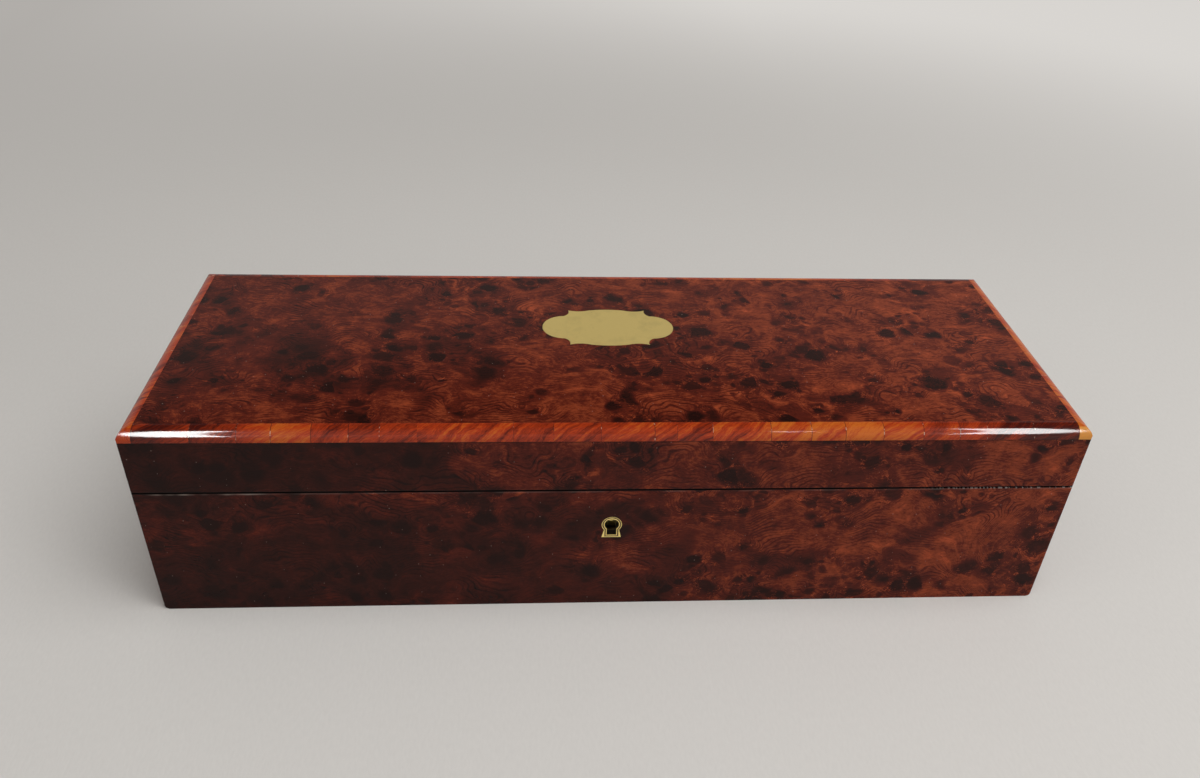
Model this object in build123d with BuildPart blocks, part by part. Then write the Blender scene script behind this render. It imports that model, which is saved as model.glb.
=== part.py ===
"""A nineteenth-century glove box: a long veneered case with a hinged lid, a lock and a quilted lining.

All sizes are in millimetres. The origin is the centre of the underside, +X runs along the box,
the front faces -Y and +Z is up. The box is shown closed and unlocked.
"""

import math
import os

from build123d import *

# Outside form of the closed box
length = 300.0
depth = 102.0
seam_height = 50.4
seam_gap = 0.4
lid_height = 23.2
edge_round = 0.6
foot_round = 2.0

# Boards and veneers
veneer = 0.8
wall_core = 7.6
lid_wall_core = 7.1
bottom_thickness = 5.0
lid_board_thickness = 6.2

# Dovetails that join the boards at the corners
base_tails = 3
lid_tails = 1
pin_wide = 5.0
pin_narrow = 3.4

# Rounded edging around the top of the lid
edging_width = 4.4
edging_height = 4.0
edging_radius = 3.8

# Brass plate let into the lid
plate_length = 46.4
plate_width = 24.6
plate_back_offset = 10.4
plate_lobe_radius = 7.6
plate_shoulder = 27.6
plate_shoulder_drop = 0.6
plate_dip_place = 10.2
plate_dip = 0.7
plate_bulge_end = 6.4
plate_notch_depth = 0.9
inlay_gap = 0.1

# Keyhole and its brass ring
key_x = -1.0
key_below_rim = 14.5
ring_wall = 0.9
key_head_radius = 2.4
key_slot_width = 3.2
key_slot_drop = 4.5
ring_foot_flare = 0.7
ring_depth = 2.0

# Lock
lock_width = 40.0
lock_thickness = 6.0
lock_below_key = 8.0
lock_plate_thickness = 1.0
lock_case_wall = 0.8
selvedge_length = 50.0
selvedge_width = 6.6
selvedge_thickness = 1.2
drill_pin_radius = 0.9
drill_pin_length = 4.6
staple_spacing = 18.0
staple_thickness = 1.8
staple_width = 3.2
staple_drop = 7.4
staple_foot = 1.2
staple_window_width = 1.8
staple_window_height = 3.0
staple_corner = 0.8
staple_slot_clearance = 0.6
bolt_thickness = 1.2
bolt_bar_height = 4.0
bolt_bar_below_staple = 0.6
bolt_bar_overrun = 4.0
bolt_travel = 4.0
bolt_hook_width = 2.4
bolt_hook_height = 2.0
bolt_clearance = 0.4
guide_stud_radius = 0.8
guide_stud_clearance = 0.1
guide_stud_overhang = 0.4
guide_stud_spacing = 17.0
talon_width = 4.6
talon_depth = 1.6
spring_thickness = 0.4
spring_width = 1.6
spring_post_radius = 0.8
spring_post_lift = 4.2
spring_reach = 4.2
spring_clearance = 0.2

# Strike plate in the lid's rim
strike_length = 44.0
strike_width = 4.4
strike_thickness = 1.2

# Stop hinges
hinge_inset = 55.0
hinge_length = 28.0
hinge_axis_inset = 1.7
hinge_leaf_width = 5.6
hinge_leaf_thickness = 1.3
hinge_heel_width = 1.4
hinge_heel_depth = 3.2
hinge_heel_setback = 0.1
hinge_barrel_radius = 1.6
hinge_pin_radius = 0.7
hinge_running_clearance = 0.05
hinge_knuckles = 3
hinge_knuckle_gap = 0.15
hinge_side_clearance = 0.3
opening_angle = 95.0
stop_clearance_angle = 0.15
groove_clearance_angle = 2.5

# Screws
screw_head_radius = 1.4
screw_head_depth = 0.7
screw_shank_radius = 0.75
screw_length = 4.2
screw_slot_width = 0.4
screw_slot_depth = 0.3
screw_clearance = 0.05
hinge_screw_spacing = 18.0
screw_edge_distance = 2.5

# Lining of satin over card and wadding
lining_thickness = 2.4
lip_height = 3.0
lip_round = 0.8
lining_clearance = 0.2
bottom_pad_thickness = 4.0
bottom_pad_round = 1.2
lid_lining_thickness = 1.2
lid_lining_rim_gap = 4.0
lid_pad_thickness = 5.5
lid_pad_round = 2.0
tuft_spacing_x = 36.0
tuft_spacing_y = 21.0
tuft_columns = 7
tuft_depth = 2.6
tuft_mouth = 18.0
tuft_floor = 7.0
button_radius = 2.2
button_height = 1.0

# Places worked out from the sizes above
lid_rim_height = seam_height + seam_gap
height = lid_rim_height + lid_height
core_half_length = length / 2 - veneer
core_half_depth = depth / 2 - veneer
inner_half_length = core_half_length - wall_core
inner_half_depth = core_half_depth - wall_core
lid_inner_half_length = core_half_length - lid_wall_core
lid_inner_half_depth = core_half_depth - lid_wall_core
lid_core_top = height - veneer
lid_ceiling = lid_core_top - lid_board_thickness
edging_low = height - edging_height
key_z = seam_height - key_below_rim
lock_back_y = -inner_half_depth
lock_front_y = lock_back_y - lock_thickness
lock_plate_y = lock_back_y - lock_plate_thickness
lock_room_y = lock_front_y + lock_case_wall
lock_low_z = key_z - lock_below_key
lock_top_z = seam_height - selvedge_thickness
staple_y = (lock_room_y + lock_plate_y) / 2
staple_low_z = lid_rim_height - staple_drop
staple_xs = (key_x - staple_spacing / 2, key_x + staple_spacing / 2)
bolt_bar_top = staple_low_z - bolt_bar_below_staple
bolt_bar_low = bolt_bar_top - bolt_bar_height
bolt_bar_middle = (bolt_bar_low + bolt_bar_top) / 2
guide_stud_xs = (key_x - guide_stud_spacing / 2, key_x + guide_stud_spacing / 2)
spring_post_x = key_x - spring_reach
spring_post_z = bolt_bar_top + spring_post_lift
hinge_axis_y = depth / 2 - hinge_axis_inset
hinge_axis_z = seam_height + seam_gap / 2
hinge_xs = (-length / 2 + hinge_inset, length / 2 - hinge_inset)
hinge_screw_y = hinge_axis_y - hinge_leaf_width + screw_edge_distance


def span_box(x, y, z, mode=Mode.ADD):
    """A box in the current part, from the low to the high value along each axis."""
    centre = [(low + high) / 2 for low, high in (x, y, z)]
    with Locations(tuple(centre)):
        Box(x[1] - x[0], y[1] - y[0], z[1] - z[0], mode=mode)


def outer_form(low, high):
    """The closed box's outside between two heights, with its rounded edges and the groove for the hinges."""
    groove_angle = math.radians(opening_angle / 2 + groove_clearance_angle)
    groove_rise = 2 * hinge_axis_inset * math.tan(groove_angle)
    with BuildPart() as form:
        with BuildSketch(Plane.XY):
            RectangleRounded(length, depth, edge_round)
        extrude(amount=height)
        with BuildSketch(Plane.XZ) as front_section:
            Rectangle(length, height, align=(Align.CENTER, Align.MIN))
            fillet(front_section.vertices().group_by(Axis.Y)[0], foot_round)
            fillet(front_section.vertices().group_by(Axis.Y)[-1], edging_radius)
        extrude(amount=depth, both=True, mode=Mode.INTERSECT)
        with BuildSketch(Plane.YZ) as end_section:
            Rectangle(depth, height, align=(Align.CENTER, Align.MIN))
            fillet(end_section.vertices().group_by(Axis.Y)[-1], edging_radius)
        extrude(amount=length, both=True, mode=Mode.INTERSECT)
        with BuildSketch(Plane.YZ.offset(-length)):
            with BuildLine():
                Polyline(
                    (hinge_axis_y, hinge_axis_z),
                    (hinge_axis_y + 2 * hinge_axis_inset, hinge_axis_z + groove_rise),
                    (hinge_axis_y + 2 * hinge_axis_inset, hinge_axis_z - groove_rise),
                    close=True,
                )
            make_face()
        extrude(amount=2 * length, mode=Mode.SUBTRACT)
        span_box((-length, length), (-depth, depth), (low, high), mode=Mode.INTERSECT)
    return form.part


base_form = outer_form(0, seam_height)
lid_form = outer_form(lid_rim_height, height)


def corner_pins(side, low, high, thickness, tails):
    """The dovetail pins at one end of the box, as bars that run through its whole depth."""
    pitch = (high - low) / tails
    end = side * core_half_length
    shoulder = side * (core_half_length - thickness)
    with BuildPart() as pins:
        with BuildSketch(Plane.XZ):
            for step in range(tails + 1):
                middle = low + step * pitch
                with BuildLine():
                    Polyline(
                        (shoulder, middle - pin_wide / 2),
                        (end, middle - pin_narrow / 2),
                        (end, middle + pin_narrow / 2),
                        (shoulder, middle + pin_wide / 2),
                        close=True,
                    )
                make_face()
        extrude(amount=core_half_depth, both=True)
        span_box((-length, length), (-depth, depth), (low, high), mode=Mode.INTERSECT)
    return pins.part


def long_board(side, low, high, thickness, tails, form):
    """A front or back board, cut between its tails for the pins of both end boards."""
    faces = sorted((side * core_half_depth, side * (core_half_depth - thickness)))
    with BuildPart() as board:
        span_box((-core_half_length, core_half_length), faces, (low, high))
        for end in (-1, 1):
            add(corner_pins(end, low, high, thickness, tails), mode=Mode.SUBTRACT)
        add(form, mode=Mode.INTERSECT)
    return board


def end_board(side, low, high, thickness, tails, form):
    """A left or right board with the pins that fill the gaps between the tails."""
    faces = sorted((side * core_half_length, side * (core_half_length - thickness)))
    inside = core_half_depth - thickness
    with BuildPart() as board:
        span_box(faces, (-inside, inside), (low, high))
        add(corner_pins(side, low, high, thickness, tails))
        add(form, mode=Mode.INTERSECT)
    return board


def long_veneer(side, low, high, form):
    """The veneer on a front or back face, as long as the box."""
    faces = sorted((side * depth / 2, side * core_half_depth))
    with BuildPart() as sheet:
        span_box((-length / 2, length / 2), faces, (low, high))
        add(form, mode=Mode.INTERSECT)
    return sheet


def end_veneer(side, low, high, form):
    """The veneer on a left or right face, between the front and back veneers."""
    faces = sorted((side * length / 2, side * core_half_length))
    with BuildPart() as sheet:
        span_box(faces, (-core_half_depth, core_half_depth), (low, high))
        add(form, mode=Mode.INTERSECT)
    return sheet


def screw(clearance=0.0):
    """A countersunk screw, head up with its top at the origin; with a clearance, the hole for it."""
    head = screw_head_radius + clearance
    shank = screw_shank_radius + clearance
    end = -screw_length - clearance
    with BuildPart() as body:
        with BuildSketch(Plane.XZ):
            with BuildLine():
                Polyline(
                    (0, 0),
                    (head, 0),
                    (shank, -screw_head_depth),
                    (shank, end),
                    (0, end),
                    close=True,
                )
            make_face()
        revolve(axis=Axis.Z)
        if clearance == 0:
            with Locations((0, 0, -screw_slot_depth / 2)):
                Box(2 * head, screw_slot_width, screw_slot_depth, mode=Mode.SUBTRACT)
    return body.part


screw_body = screw()
screw_hole = screw(screw_clearance)


def keyhole_bar(offset, front, back):
    """The keyhole's outline, grown by an offset, between two depths; a grown one also flares at its foot."""
    flare = ring_foot_flare if offset > 0 else 0
    half_slot = key_slot_width / 2 + offset
    foot = key_z - key_slot_drop - offset
    with BuildPart() as bar:
        with BuildSketch(Plane.XZ.offset(-back)):
            with Locations((key_x, key_z)):
                Circle(key_head_radius + offset)
            with BuildLine():
                Polyline(
                    (key_x - half_slot, key_z),
                    (key_x + half_slot, key_z),
                    (key_x + half_slot, key_z - key_head_radius),
                    (key_x + half_slot + flare, foot),
                    (key_x - half_slot - flare, foot),
                    (key_x - half_slot, key_z - key_head_radius),
                    close=True,
                )
            make_face()
        extrude(amount=back - front)
    return bar.part


def cartouche(growth=0.0):
    """The brass plate, two lobes and bowed long sides, or grown a little, the opening for it."""
    half_length = plate_length / 2 + growth
    half_width = plate_width / 2 + growth
    lobe = plate_lobe_radius + growth
    lobe_x = half_length - lobe
    shoulder = (plate_shoulder / 2 + growth, half_width - plate_shoulder_drop)
    bulge_end = (plate_bulge_end, half_width - plate_shoulder_drop)
    dip = (plate_dip_place, half_width - plate_shoulder_drop - plate_dip)
    notch = ((lobe_x + shoulder[0]) / 2 - plate_notch_depth, (lobe + shoulder[1]) / 2)
    bulge_radius = (plate_bulge_end**2 + plate_shoulder_drop**2) / (2 * plate_shoulder_drop)
    bulge_angle = math.degrees(math.asin(plate_bulge_end / bulge_radius))
    with BuildPart() as plate:
        with BuildSketch(Plane((0, plate_back_offset, height - veneer))):
            with BuildLine():
                CenterArc((lobe_x, 0), lobe, 0, 90)
                ThreePointArc((lobe_x, lobe), notch, shoulder)
                ThreePointArc(shoulder, dip, bulge_end)
                CenterArc((0, half_width - bulge_radius), bulge_radius, 90 - bulge_angle, bulge_angle)
                mirror(about=Plane.YZ)
                mirror(about=Plane.XZ)
            make_face()
        extrude(amount=veneer)
    return plate.part


def hinge_blank(x, up):
    """A hinge leaf before its knuckles are cut: a thin plate, a heel and the sloping face of the stop."""
    slope = math.tan(math.radians(opening_angle / 2 + stop_clearance_angle))
    face = seam_gap / 2
    heel_back = hinge_axis_inset - hinge_heel_setback
    outline = (
        (-hinge_leaf_width, face),
        (face / slope, face),
        (heel_back, heel_back * slope),
        (heel_back, hinge_heel_depth),
        (-hinge_heel_width, hinge_heel_depth),
        (-hinge_heel_width, face + hinge_leaf_thickness),
        (-hinge_leaf_width, face + hinge_leaf_thickness),
    )
    with BuildPart() as blank:
        with BuildSketch(Plane.YZ.offset(x - hinge_length / 2)):
            with BuildLine():
                Polyline(*[(hinge_axis_y + y, hinge_axis_z + up * z) for y, z in outline], close=True)
            make_face()
        extrude(amount=hinge_length)
    return blank.part


def axis_cylinder(x, radius, span):
    """A cylinder on the hinge axis, centred at x."""
    with BuildPart() as cylinder:
        with BuildSketch(Plane.YZ.offset(x - span / 2)):
            with Locations((hinge_axis_y, hinge_axis_z)):
                Circle(radius)
        extrude(amount=span)
    return cylinder.part


def hinge_screw_places(up):
    """Where the two screws of each leaf stand, with their heads in the leaf's face."""
    turn = 180 if up > 0 else 0
    head_z = hinge_axis_z + up * seam_gap / 2
    steps = (-hinge_screw_spacing / 2, hinge_screw_spacing / 2)
    return [Location((x + step, hinge_screw_y, head_z), (turn, 0, 0)) for x in hinge_xs for step in steps]


def strike_screw_places():
    """Where the two screws of the strike plate stand, heads down in its face."""
    reach = strike_length / 2 - screw_edge_distance
    return [Location((key_x + side * reach, staple_y, lid_rim_height), (180, 0, 0)) for side in (-1, 1)]


def lock_screw_places():
    """Two screws go down through the ends of the selvedge into the front board."""
    reach = selvedge_length / 2 - screw_edge_distance
    y = lock_back_y - selvedge_width / 2
    return [Location((key_x + side * reach, y, seam_height)) for side in (-1, 1)]


def hinge_leaf(x, up):
    """One leaf of a stop hinge. The case's leaf has the odd knuckles and the lid's leaf the even ones."""
    pitch = hinge_length / hinge_knuckles
    own = 0 if up < 0 else 1
    with BuildPart() as leaf:
        add(hinge_blank(x, up))
        for step in range(hinge_knuckles):
            middle = x - hinge_length / 2 + (step + 0.5) * pitch
            if step % 2 == own:
                add(axis_cylinder(middle, hinge_barrel_radius, pitch - hinge_knuckle_gap))
            else:
                room = hinge_barrel_radius + hinge_side_clearance / 2
                add(axis_cylinder(middle, room, pitch + hinge_knuckle_gap), mode=Mode.SUBTRACT)
        bore = hinge_pin_radius + hinge_running_clearance
        add(axis_cylinder(x, bore, 2 * hinge_length), mode=Mode.SUBTRACT)
        with Locations(*hinge_screw_places(up)):
            add(screw_hole, mode=Mode.SUBTRACT)
    return leaf


def cut_hinge_mortises(up):
    """Cuts the current part for both hinges: leaf, room round the barrel and screw holes."""
    for x in hinge_xs:
        add(hinge_blank(x, up), mode=Mode.SUBTRACT)
        room = hinge_barrel_radius + hinge_side_clearance
        add(axis_cylinder(x, room, hinge_length + 2 * hinge_side_clearance), mode=Mode.SUBTRACT)
    with Locations(*hinge_screw_places(up)):
        add(screw_hole, mode=Mode.SUBTRACT)


def save(piece, name):
    """Labels a finished piece and writes it."""
    piece.part.label = name
    export_step(piece.part, f"parts/{name}.step")


os.makedirs("parts", exist_ok=True)

# The case: bottom, four dovetailed boards and their veneers

with BuildPart() as bottom_board:
    span_box(
        (-core_half_length, core_half_length),
        (-core_half_depth, core_half_depth),
        (0, bottom_thickness),
    )
    add(base_form, mode=Mode.INTERSECT)
save(bottom_board, "bottom_board")

front_board = long_board(-1, bottom_thickness, seam_height, wall_core, base_tails, base_form)
with front_board:
    lock_x = (key_x - lock_width / 2, key_x + lock_width / 2)
    selvedge_x = (key_x - selvedge_length / 2, key_x + selvedge_length / 2)
    selvedge_y = (lock_back_y - selvedge_width, lock_back_y)
    span_box(lock_x, (lock_front_y, lock_back_y), (lock_low_z, seam_height), mode=Mode.SUBTRACT)
    span_box(selvedge_x, selvedge_y, (lock_top_z, seam_height), mode=Mode.SUBTRACT)
    add(keyhole_bar(0, -core_half_depth, lock_front_y), mode=Mode.SUBTRACT)
    add(keyhole_bar(ring_wall, -depth / 2, -depth / 2 + ring_depth), mode=Mode.SUBTRACT)
    with Locations(*lock_screw_places()):
        add(screw_hole, mode=Mode.SUBTRACT)
save(front_board, "front_board")

back_board = long_board(1, bottom_thickness, seam_height, wall_core, base_tails, base_form)
with back_board:
    cut_hinge_mortises(-1)
save(back_board, "back_board")

for side, word in ((-1, "left"), (1, "right")):
    board = end_board(side, bottom_thickness, seam_height, wall_core, base_tails, base_form)
    save(board, f"{word}_board")
    save(end_veneer(side, 0, seam_height, base_form), f"{word}_veneer")

front_veneer = long_veneer(-1, 0, seam_height, base_form)
with front_veneer:
    add(keyhole_bar(ring_wall, -depth / 2, -core_half_depth), mode=Mode.SUBTRACT)
save(front_veneer, "front_veneer")

back_veneer = long_veneer(1, 0, seam_height, base_form)
with back_veneer:
    cut_hinge_mortises(-1)
save(back_veneer, "back_veneer")

with BuildPart() as keyhole_ring:
    add(keyhole_bar(ring_wall, -depth / 2, -depth / 2 + ring_depth))
    add(keyhole_bar(0, -depth / 2, -depth / 2 + ring_depth), mode=Mode.SUBTRACT)
save(keyhole_ring, "keyhole_ring")

# The lid: top board, four dovetailed boards, veneers, edging and brass plate

with BuildPart() as lid_board:
    span_box(
        (-core_half_length, core_half_length),
        (-core_half_depth, core_half_depth),
        (lid_ceiling, lid_core_top),
    )
    with BuildSketch(Plane.XY.offset(edging_low)):
        Rectangle(length, depth)
        Rectangle(length - 2 * edging_width, depth - 2 * edging_width, mode=Mode.SUBTRACT)
    extrude(amount=edging_height, mode=Mode.SUBTRACT)
save(lid_board, "lid_board")

lid_front_board = long_board(-1, lid_rim_height, lid_ceiling, lid_wall_core, lid_tails, lid_form)
with lid_front_board:
    strike_x = (key_x - strike_length / 2, key_x + strike_length / 2)
    strike_y = (staple_y - strike_width / 2, staple_y + strike_width / 2)
    strike_z = (lid_rim_height, lid_rim_height + strike_thickness)
    span_box(strike_x, strike_y, strike_z, mode=Mode.SUBTRACT)
    with Locations(*strike_screw_places()):
        add(screw_hole, mode=Mode.SUBTRACT)
save(lid_front_board, "lid_front_board")

lid_back_board = long_board(1, lid_rim_height, lid_ceiling, lid_wall_core, lid_tails, lid_form)
with lid_back_board:
    cut_hinge_mortises(1)
save(lid_back_board, "lid_back_board")

for side, word in ((-1, "left"), (1, "right")):
    board = end_board(side, lid_rim_height, lid_ceiling, lid_wall_core, lid_tails, lid_form)
    save(board, f"lid_{word}_board")
    save(end_veneer(side, lid_rim_height, edging_low, lid_form), f"lid_{word}_veneer")

save(long_veneer(-1, lid_rim_height, edging_low, lid_form), "lid_front_veneer")

lid_back_veneer = long_veneer(1, lid_rim_height, edging_low, lid_form)
with lid_back_veneer:
    cut_hinge_mortises(1)
save(lid_back_veneer, "lid_back_veneer")

with BuildPart() as lid_top_veneer:
    with BuildSketch(Plane.XY.offset(lid_core_top)):
        Rectangle(length - 2 * edging_width, depth - 2 * edging_width)
    extrude(amount=veneer)
    add(cartouche(inlay_gap), mode=Mode.SUBTRACT)
save(lid_top_veneer, "lid_top_veneer")

edging_z = (edging_low, height)
for side, word in ((-1, "left"), (1, "right")):
    edging_x = sorted((side * length / 2, side * (length / 2 - edging_width)))
    with BuildPart() as end_edging:
        span_box(edging_x, (-depth / 2, depth / 2), edging_z)
        add(lid_form, mode=Mode.INTERSECT)
    save(end_edging, f"{word}_edging")

for side, word in ((-1, "front"), (1, "back")):
    edging_y = sorted((side * depth / 2, side * (depth / 2 - edging_width)))
    with BuildPart() as long_edging:
        span_box((-length / 2 + edging_width, length / 2 - edging_width), edging_y, edging_z)
        add(lid_form, mode=Mode.INTERSECT)
    save(long_edging, f"{word}_edging")

with BuildPart() as brass_plate:
    add(cartouche())
save(brass_plate, "brass_plate")

# The lock in the front board and the strike plate in the lid

with BuildPart() as lock_plate:
    span_box(lock_x, (lock_plate_y, lock_back_y), (lock_low_z, seam_height))
    span_box(selvedge_x, selvedge_y, (lock_top_z, seam_height))
    for x in staple_xs:
        half_slot = staple_thickness / 2 + staple_slot_clearance
        slot_y = (lock_room_y, lock_plate_y)
        span_box((x - half_slot, x + half_slot), slot_y, (lock_top_z, seam_height), mode=Mode.SUBTRACT)
    with BuildSketch(Plane.XZ.offset(-lock_plate_y)):
        with Locations((key_x, key_z)):
            Circle(drill_pin_radius)
    extrude(amount=drill_pin_length)
    with BuildSketch(Plane.XZ.offset(-lock_plate_y)):
        with Locations(*[(x, bolt_bar_middle) for x in guide_stud_xs]):
            Circle(guide_stud_radius)
        with Locations((spring_post_x, spring_post_z)):
            Circle(spring_post_radius)
    extrude(amount=lock_plate_y - staple_y + bolt_thickness / 2 + guide_stud_overhang)
    with Locations(*lock_screw_places()):
        add(screw_hole, mode=Mode.SUBTRACT)
save(lock_plate, "lock_plate")

with BuildPart() as lock_case:
    span_box(lock_x, (lock_front_y, lock_plate_y), (lock_low_z, lock_top_z))
    room_x = (lock_x[0] + lock_case_wall, lock_x[1] - lock_case_wall)
    room_z = (lock_low_z + lock_case_wall, lock_top_z)
    span_box(room_x, (lock_room_y, lock_plate_y), room_z, mode=Mode.SUBTRACT)
    add(keyhole_bar(0, lock_front_y, lock_room_y), mode=Mode.SUBTRACT)
save(lock_case, "lock_case")

window_low = staple_low_z + staple_foot
hook_low = window_low + (staple_window_height - bolt_hook_height) / 2
with BuildPart() as lock_bolt:
    with BuildSketch(Plane.XZ.offset(-staple_y)):
        stem_ends = [x - staple_thickness / 2 - bolt_clearance - bolt_travel for x in staple_xs]
        bar_left = stem_ends[0] - bolt_hook_width
        bar_right = staple_xs[1] + bolt_bar_overrun
        with Locations(((bar_left + bar_right) / 2, bolt_bar_middle)):
            Rectangle(bar_right - bar_left, bolt_bar_height)
        for stem_end in stem_ends:
            with BuildLine():
                Polyline(
                    (stem_end - bolt_hook_width, bolt_bar_top),
                    (stem_end - bolt_hook_width, hook_low + bolt_hook_height),
                    (stem_end + bolt_travel, hook_low + bolt_hook_height),
                    (stem_end + bolt_travel, hook_low),
                    (stem_end, hook_low),
                    (stem_end, bolt_bar_top),
                    close=True,
                )
            make_face()
        with Locations((key_x, bolt_bar_low + talon_depth / 2)):
            Rectangle(talon_width, talon_depth, mode=Mode.SUBTRACT)
        slot_run = bolt_travel + 2 * guide_stud_clearance
        slot_height = 2 * (guide_stud_radius + guide_stud_clearance)
        with Locations(*[(x - bolt_travel / 2, bolt_bar_middle) for x in guide_stud_xs]):
            SlotCenterToCenter(slot_run, slot_height, mode=Mode.SUBTRACT)
    extrude(amount=bolt_thickness / 2, both=True)
save(lock_bolt, "lock_bolt")

with BuildPart() as lock_spring:
    with BuildSketch(Plane.XZ.offset(-staple_y)):
        coil_radius = spring_post_radius + spring_clearance / 2 + spring_thickness
        rest_z = bolt_bar_top + spring_clearance + spring_thickness / 2
        start = (spring_post_x, spring_post_z - coil_radius + spring_thickness / 2)
        end = (spring_post_x + spring_reach, rest_z)
        sag = ((start[0] + end[0]) / 2, rest_z + (start[1] - rest_z) / 3)
        with BuildLine():
            ThreePointArc(start, sag, end)
        trace(line_width=spring_thickness)
        with Locations((spring_post_x, spring_post_z)):
            Circle(coil_radius)
            Circle(coil_radius - spring_thickness, mode=Mode.SUBTRACT)
    extrude(amount=spring_width / 2, both=True)
save(lock_spring, "lock_spring")

with BuildPart() as lock_screws:
    with Locations(*lock_screw_places()):
        add(screw_body)
save(lock_screws, "lock_screws")

with BuildPart() as strike_plate:
    span_box(strike_x, strike_y, strike_z)
    for x in staple_xs:
        with BuildSketch(Plane.YZ.offset(x)):
            with Locations((staple_y, (staple_low_z + lid_rim_height) / 2)):
                loop = Rectangle(staple_width, staple_drop)
            fillet(loop.vertices().group_by(Axis.Y)[0], staple_corner)
            with Locations((staple_y, window_low + staple_window_height / 2)):
                Rectangle(staple_window_width, staple_window_height, mode=Mode.SUBTRACT)
        extrude(amount=staple_thickness / 2, both=True)
    with Locations(*strike_screw_places()):
        add(screw_hole, mode=Mode.SUBTRACT)
save(strike_plate, "strike_plate")

with BuildPart() as strike_screws:
    with Locations(*strike_screw_places()):
        add(screw_body)
save(strike_screws, "strike_screws")

# The two stop hinges

for x, word in zip(hinge_xs, ("left", "right")):
    save(hinge_leaf(x, -1), f"{word}_hinge_case_leaf")
    save(hinge_leaf(x, 1), f"{word}_hinge_lid_leaf")
    with BuildPart() as hinge_pin:
        add(axis_cylinder(x, hinge_pin_radius, hinge_length))
    save(hinge_pin, f"{word}_hinge_pin")

for up, word in ((-1, "case"), (1, "lid")):
    with BuildPart() as hinge_screws:
        with Locations(*hinge_screw_places(up)):
            add(screw_body)
    save(hinge_screws, f"hinge_{word}_screws")

# The lining: satin panels that stand above the rim as a lip, a soft floor and a buttoned pad in the lid

lip_top = seam_height + lip_height
panel_z = (bottom_thickness, lip_top)
inside_x = inner_half_length - lining_thickness
inside_y = inner_half_depth - lining_thickness
for side, word in ((-1, "front"), (1, "back")):
    panel_y = sorted((side * inner_half_depth, side * inside_y))
    with BuildPart() as long_lining:
        span_box((-inner_half_length, inner_half_length), panel_y, panel_z)
        fillet(long_lining.edges().filter_by(Axis.X).group_by(Axis.Z)[-1], lip_round)
    save(long_lining, f"{word}_lining")

for side, word in ((-1, "left"), (1, "right")):
    panel_x = sorted((side * inner_half_length, side * inside_x))
    with BuildPart() as end_lining:
        span_box(panel_x, (-inside_y, inside_y), panel_z)
        fillet(end_lining.edges().filter_by(Axis.Y).group_by(Axis.Z)[-1], lip_round)
    save(end_lining, f"{word}_lining")

with BuildPart() as bottom_pad:
    pad_x = inside_x - lining_clearance
    pad_y = inside_y - lining_clearance
    pad_z = (bottom_thickness, bottom_thickness + bottom_pad_thickness)
    span_box((-pad_x, pad_x), (-pad_y, pad_y), pad_z)
    fillet(bottom_pad.faces().sort_by(Axis.Z)[-1].edges(), bottom_pad_round)
save(bottom_pad, "bottom_pad")

lid_panel_z = (lid_rim_height + lid_lining_rim_gap, lid_ceiling)
lid_inside_x = lid_inner_half_length - lid_lining_thickness
lid_inside_y = lid_inner_half_depth - lid_lining_thickness
for side, word in ((-1, "front"), (1, "back")):
    panel_y = sorted((side * lid_inner_half_depth, side * lid_inside_y))
    with BuildPart() as long_lining:
        span_box((-lid_inner_half_length, lid_inner_half_length), panel_y, lid_panel_z)
    save(long_lining, f"lid_{word}_lining")

for side, word in ((-1, "left"), (1, "right")):
    panel_x = sorted((side * lid_inner_half_length, side * lid_inside_x))
    with BuildPart() as end_lining:
        span_box(panel_x, (-lid_inside_y, lid_inside_y), lid_panel_z)
    save(end_lining, f"lid_{word}_lining")

lid_pad_face = lid_ceiling - lid_pad_thickness
tuft_places = []
for row, columns in ((-1, tuft_columns), (0, tuft_columns - 1), (1, tuft_columns)):
    for column in range(columns):
        tuft_x = (column - (columns - 1) / 2) * tuft_spacing_x
        tuft_places.append((tuft_x, row * tuft_spacing_y, lid_pad_face))

with BuildPart() as tuft:
    with BuildSketch():
        RegularPolygon(tuft_mouth / 2, 4)
    with BuildSketch(Plane.XY.offset(tuft_depth)):
        RegularPolygon(tuft_floor / 2, 4)
    loft()

with BuildPart() as lid_pad:
    pad_x = lid_inside_x - lining_clearance
    pad_y = lid_inside_y - lining_clearance
    span_box((-pad_x, pad_x), (-pad_y, pad_y), (lid_pad_face, lid_ceiling))
    fillet(lid_pad.faces().sort_by(Axis.Z)[0].edges(), lid_pad_round)
    with Locations(*tuft_places):
        add(tuft.part, mode=Mode.SUBTRACT)
save(lid_pad, "lid_pad")

with BuildPart() as lid_buttons:
    with Locations(*[(x, y, z + tuft_depth - button_height / 2) for x, y, z in tuft_places]):
        Cylinder(button_radius, button_height)
save(lid_buttons, "lid_buttons")
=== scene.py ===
"""Dresses the glove box: burl veneers, rosewood edging, brass, steel, boards and a quilted satin lining."""

import math
import random

import bmesh
import bpy
from bpy.props import FloatProperty, FloatVectorProperty, IntProperty, PointerProperty
from mathutils import Matrix, Vector


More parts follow.
